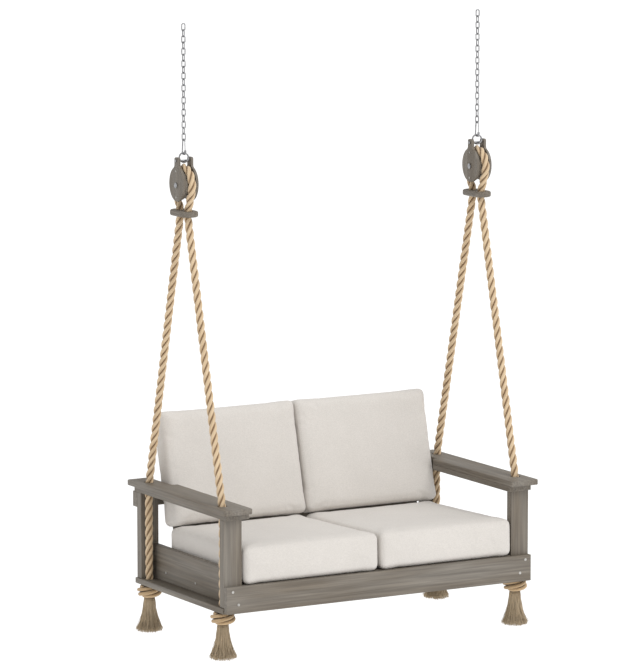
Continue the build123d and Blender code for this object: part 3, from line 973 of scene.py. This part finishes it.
@dataclass
class FrayedTassel:
    """The rope's end combed out below its knot."""

    node: str
    seed: int
    fibres: int = 700
    steps: int = 9
    top_radius: float = 0.0225
    core_falls: tuple[float, ...] = (0.0, 0.3, 0.6, 0.8, 0.9)
    core_radii: tuple[float, ...] = (0.019, 0.023, 0.029, 0.036, 0.040)
    # the third colour is painted shade for the inner fibres and core
    finish: RopeFinish = field(
        default_factory=lambda: RopeFinish(tint(208, 188, 157), tint(156, 135, 105), tint(98, 82, 62)))

    def build(self, groups: Groups) -> bpy.types.Object:
        """Hang many fine fibres in a flare round a fuller core.

        Args:
            groups: The shared groups.

        Returns:
            The tassel.
        """
        low, high = (Vector(corner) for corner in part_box(self.node))
        middle = (low + high) / 2
        drop = high.z - low.z
        widest = (high.x - low.x) / 2
        dice = random.Random(self.seed)
        meshes = []
        depths = []
        for _ in range(self.fibres):
            angle = dice.uniform(0.0, 2 * math.pi)
            share = math.sqrt(dice.uniform(0.40, 1.0))
            top = self.top_radius * share
            end = (widest + 0.002) * (share ** 1.15) * dice.uniform(0.84, 1.03)
            fall = drop * (dice.uniform(0.90, 0.99) - 0.06 * share ** 6)
            sway = dice.uniform(-0.35, 0.35)
            wave = dice.uniform(0.0006, 0.0020)
            phase = dice.uniform(0.0, 6.28)
            # painted light level: partly random tone, partly painted shade on the inner fibres of the flare
            painted_light_level = 0.93 - 0.26 * dice.random() * (1.4 - share)
            points = []
            for step in range(self.steps + 1):
                along = step / self.steps
                spread = top + (end - top) * (0.42 * along + 0.58 * along ** 3.0)
                turn = angle + sway * along + wave * 30 * math.sin(phase + along * 9.0) * 0.4
                radius = spread + wave * math.sin(phase + along * 11.0)
                points.append(Vector((middle.x + radius * math.cos(turn), middle.y + radius * math.sin(turn),
                                      high.z - fall * along)))
            thick = dice.uniform(0.0009, 0.0015)
            radii = [thick * (1.0 - 0.25 * step / self.steps) for step in range(self.steps + 1)]
            fibre = tube_along(points, radii, 4, "fibre")
            depths += [painted_light_level] * len(fibre.vertices)
            meshes.append(fibre)
        core_line = [Vector((middle.x, middle.y, high.z - drop * share)) for share in self.core_falls]
        core = tube_along(core_line, list(self.core_radii), CORE_SIDES, "tassel_core")
        # the core sits mostly in painted shade
        depths += [0.66] * len(core.vertices)
        meshes.append(core)
        piece = join_meshes(f"{self.node}_fibres", meshes, depths)
        dress(piece, self.finish.make(groups, f"{self.node}_hair"))
        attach(piece, "bench")
        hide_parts(self.node)
        return piece


# ---- cushions -----------------------------------------------------------------------------------------


@dataclass
class BoxCushion:
    """A filled box cushion, blown up from its own skin."""

    kind: str
    voxel: float
    lean: float
    crown_axis: int
    crown_way: float
    inset: float = 0.0015
    cap: float = 0.007
    crown: float = 0.006
    pressure: float = 4.0
    frames: int = 20
    finish: WeaveFinish = field(default_factory=WeaveFinish)
    centre: Vector = field(default_factory=Vector)
    reach: list[float] = field(default_factory=list)

    def _skin(self) -> bpy.types.Object:
        """Copy the left cushion's solid as one even skin, level and a little smaller.

        Returns:
            The skin, turned level about its own middle so that its faces follow the voxels.
        """
        mesh = bpy.data.objects[f"left_{self.kind}_cushion"].data.copy()
        piece = mesh_object(f"left_{self.kind}_pad", mesh)
        work = bmesh.new()
        work.from_mesh(mesh)
        bmesh.ops.remove_doubles(work, verts=work.verts, dist=1e-5)
        low = Vector([min(v.co[i] for v in work.verts) for i in range(3)])
        high = Vector([max(v.co[i] for v in work.verts) for i in range(3)])
        self.centre = (low + high) / 2
        level = Matrix.Rotation(-self.lean, 3, "X")
        for vert in work.verts:
            vert.co = level @ (vert.co - self.centre)
        self.reach = [max(abs(v.co[i]) for v in work.verts) for i in range(3)]
        for vert in work.verts:
            vert.co = Vector([vert.co[i] * (1 - self.inset / self.reach[i]) for i in range(3)])
        work.to_mesh(mesh)
        work.free()
        choose_only(piece)
        remesh = piece.modifiers.new("skin", "REMESH")
        remesh.mode = "VOXEL"
        remesh.voxel_size = self.voxel
        bpy.ops.object.modifier_apply(modifier=remesh.name)
        return piece

    def _inflate(self, piece: bpy.types.Object) -> None:
        """Blow the skin up, and cap how far each point moves.

        Args:
            piece: The skin.
        """
        rest = [(v.co.copy(), v.normal.copy()) for v in piece.data.vertices]
        scene = bpy.context.scene
        cloth = piece.modifiers.new("fill", "CLOTH")
        cloth.settings.use_pressure = True
        cloth.settings.uniform_pressure_force = self.pressure
        cloth.settings.effector_weights.gravity = 0.0
        cloth.settings.quality = 4
        cloth.settings.mass = 0.4
        cloth.point_cache.frame_start = 1
        cloth.point_cache.frame_end = self.frames
        for frame_number in range(1, self.frames + 1):
            scene.frame_set(frame_number)
        blown = piece.evaluated_get(bpy.context.evaluated_depsgraph_get())
        moved = [v.co.copy() for v in blown.data.vertices]
        piece.modifiers.clear()
        scene.frame_set(1)
        for vert, (before, normal), after in zip(piece.data.vertices, rest, moved):
            step = after - before
            if step.dot(normal) < 0:
                step *= 0.25
            if step.length > self.cap:
                step *= self.cap / step.length
            vert.co = before + step

    def _settle(self, piece: bpy.types.Object) -> None:
        """Bring the cushion to its full size, press it flat where it rests, and turn it to its place.

        Args:
            piece: The cushion, still level.
        """
        turn = Matrix.Rotation(self.lean, 3, "X")
        grow = [1.0, 1.0, 1.0]
        for axis in range(3):
            if axis != self.crown_axis:
                grow[axis] = self.reach[axis] / max(abs(v.co[axis]) for v in piece.data.vertices)
        for vert in piece.data.vertices:
            point = Vector([vert.co[axis] * grow[axis] for axis in range(3)])
            for axis in range(3):
                low = -self.reach[axis]
                high = self.reach[axis]
                if axis == self.crown_axis:
                    if self.crown_way > 0:
                        high += self.crown
                    else:
                        low -= self.crown
                point[axis] = min(high, max(low, point[axis]))
            vert.co = self.centre + turn @ point

    def _declare(self, piece: bpy.types.Object, side: Side, material: bpy.types.Material) -> None:
        """Dress and declare one cushion.

        Args:
            piece: The cushion.
            side: Which side it is for.
            material: Its cloth.
        """
        piece.data.polygons.foreach_set("use_smooth", [True] * len(piece.data.polygons))
        dress(piece, material)
        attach(piece, "bench")
        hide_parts(f"{side.word}_{self.kind}_cushion")

    def build(self, groups: Groups) -> list[bpy.types.Object]:
        """Make the left cushion and its mirror.

        Args:
            groups: The shared groups.

        Returns:
            The two cushions.
        """
        piece = self._skin()
        self._inflate(piece)
        choose_only(piece)
        smooth = piece.modifiers.new("ease", "SMOOTH")
        smooth.factor = 0.5
        smooth.iterations = 1
        bpy.ops.object.modifier_apply(modifier=smooth.name)
        finer = piece.modifiers.new("finer", "SUBSURF")
        finer.levels = 1
        finer.render_levels = 1
        bpy.ops.object.modifier_apply(modifier=finer.name)
        self._settle(piece)
        material = self.finish.make(groups, f"{self.kind}_cushion_cloth")
        work = bmesh.new()
        work.from_mesh(piece.data)
        for vert in work.verts:
            vert.co.x = -vert.co.x
        bmesh.ops.reverse_faces(work, faces=work.faces)
        twin_mesh = bpy.data.meshes.new(f"right_{self.kind}_pad")
        work.to_mesh(twin_mesh)
        work.free()
        twin = mesh_object(f"right_{self.kind}_pad", twin_mesh)
        self._declare(piece, Side.LEFT, material)
        self._declare(twin, Side.RIGHT, material)
        LOG.info("%s cushions have %d faces each", self.kind, len(piece.data.polygons))
        return [piece, twin]


# ---- studio ---------------------------------------------------------------------------------------------


@dataclass
class Studio:
    """A pale floor, a white surround, soft lights and the camera."""

    floor_z: float = -3.40
    surround: float = 0.74
    sun: float = 1.25
    fill: float = 5.0
    camera_at: Point = (-10.7174, -18.6412, 1.7791)
    lens: float = 276.69
    turn: float = -29.7388
    tip: float = 8.3999

    def camera(self) -> bpy.types.Object:
        """Place the camera.

        Returns:
            The camera.
        """
        data = bpy.data.cameras.new("view_camera")
        data.sensor_width = 36.0
        data.sensor_fit = "HORIZONTAL"
        data.lens = self.lens
        data.clip_end = 400.0
        data.clip_start = 0.5
        camera = bpy.data.objects.new("view_camera", data)
        bpy.context.scene.collection.objects.link(camera)
        camera.location = self.camera_at
        camera.rotation_euler = (math.radians(90.0 - self.tip), 0.0, math.radians(self.turn))
        bpy.context.scene.camera = camera
        return camera

    def _area(self, name: str, at: Point, aim: Point, size: float, power: float) -> None:
        """Add one soft light.

        Args:
            name: The light's name.
            at: Where it stands.
            aim: What it faces.
            size: Its side in metres.
            power: Its power in watts.
        """
        data = bpy.data.lights.new(name, "AREA")
        data.shape = "SQUARE"
        data.size = size
        data.energy = power
        lamp = bpy.data.objects.new(name, data)
        bpy.context.scene.collection.objects.link(lamp)
        lamp.location = at
        lamp.rotation_euler = (Vector(aim) - Vector(at)).to_track_quat("-Z", "Y").to_euler()

    def build(self) -> None:
        """Lay the floor, light the surround and set the lamps."""
        bpy.ops.object.select_all(action="DESELECT")
        bpy.ops.mesh.primitive_plane_add(size=400.0, location=(0.0, 0.0, self.floor_z))
        floor = bpy.context.object
        floor.name = "studio_floor"
        material, _, shader, _ = plain_material("pale_floor")
        shader.inputs["Base Color"].default_value = (0.95, 0.95, 0.95, 1.0)
        shader.inputs["Emission Color"].default_value = (1.0, 1.0, 1.0, 1.0)
        shader.inputs["Emission Strength"].default_value = 0.14
        shader.inputs["Roughness"].default_value = 0.9
        shader.inputs["Specular IOR Level"].default_value = 0.0
        dress(floor, material)
        world = bpy.data.worlds.new("studio_surround")
        world.use_nodes = True
        world.node_tree.nodes["Background"].inputs["Color"].default_value = (1.0, 1.0, 1.0, 1.0)
        world.node_tree.nodes["Background"].inputs["Strength"].default_value = self.surround
        bpy.context.scene.world = world
        bpy.context.scene.view_settings.view_transform = "Standard"
        sun = bpy.data.lights.new("soft_sun", "SUN")
        sun.energy = self.sun
        sun.angle = math.radians(28.0)
        lamp = bpy.data.objects.new("soft_sun", sun)
        bpy.context.scene.collection.objects.link(lamp)
        lamp.rotation_euler = Vector((-0.22, 0.80, -1.10)).to_track_quat("-Z", "Y").to_euler()
        self._area("front_fill", (1.2, -3.6, -1.9), (0.0, -0.3, -2.2), 1.8, self.fill)


def main() -> None:
    """Build the swing's looks in order."""
    logging.basicConfig(level=logging.INFO, format="%(message)s")
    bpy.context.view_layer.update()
    groups = Groups()
    studio = Studio()
    studio.camera()
    for side in Side:
        SwingRope(side).build(groups)
    seed = 11
    for side in Side:
        for end in ("front", "rear"):
            StopperKnot(f"{end}_{side.word}_knot").build(groups)
            FrayedTassel(f"{end}_{side.word}_tassel", seed).build(groups)
            seed += 7
    LOG.info("boards dressed: %d", BoardWork().dress(groups))
    LOG.info("steel nodes dressed: %d", SteelWork().dress(groups))
    ScrewHeads().build(groups)
    BoxCushion("seat", 0.0078, math.radians(-2.0), crown_axis=2, crown_way=1.0).build(groups)
    BoxCushion("back", 0.0070, math.radians(-14.2), crown_axis=1, crown_way=-1.0).build(groups)
    studio.build()


if __name__ == "__main__":
    main()
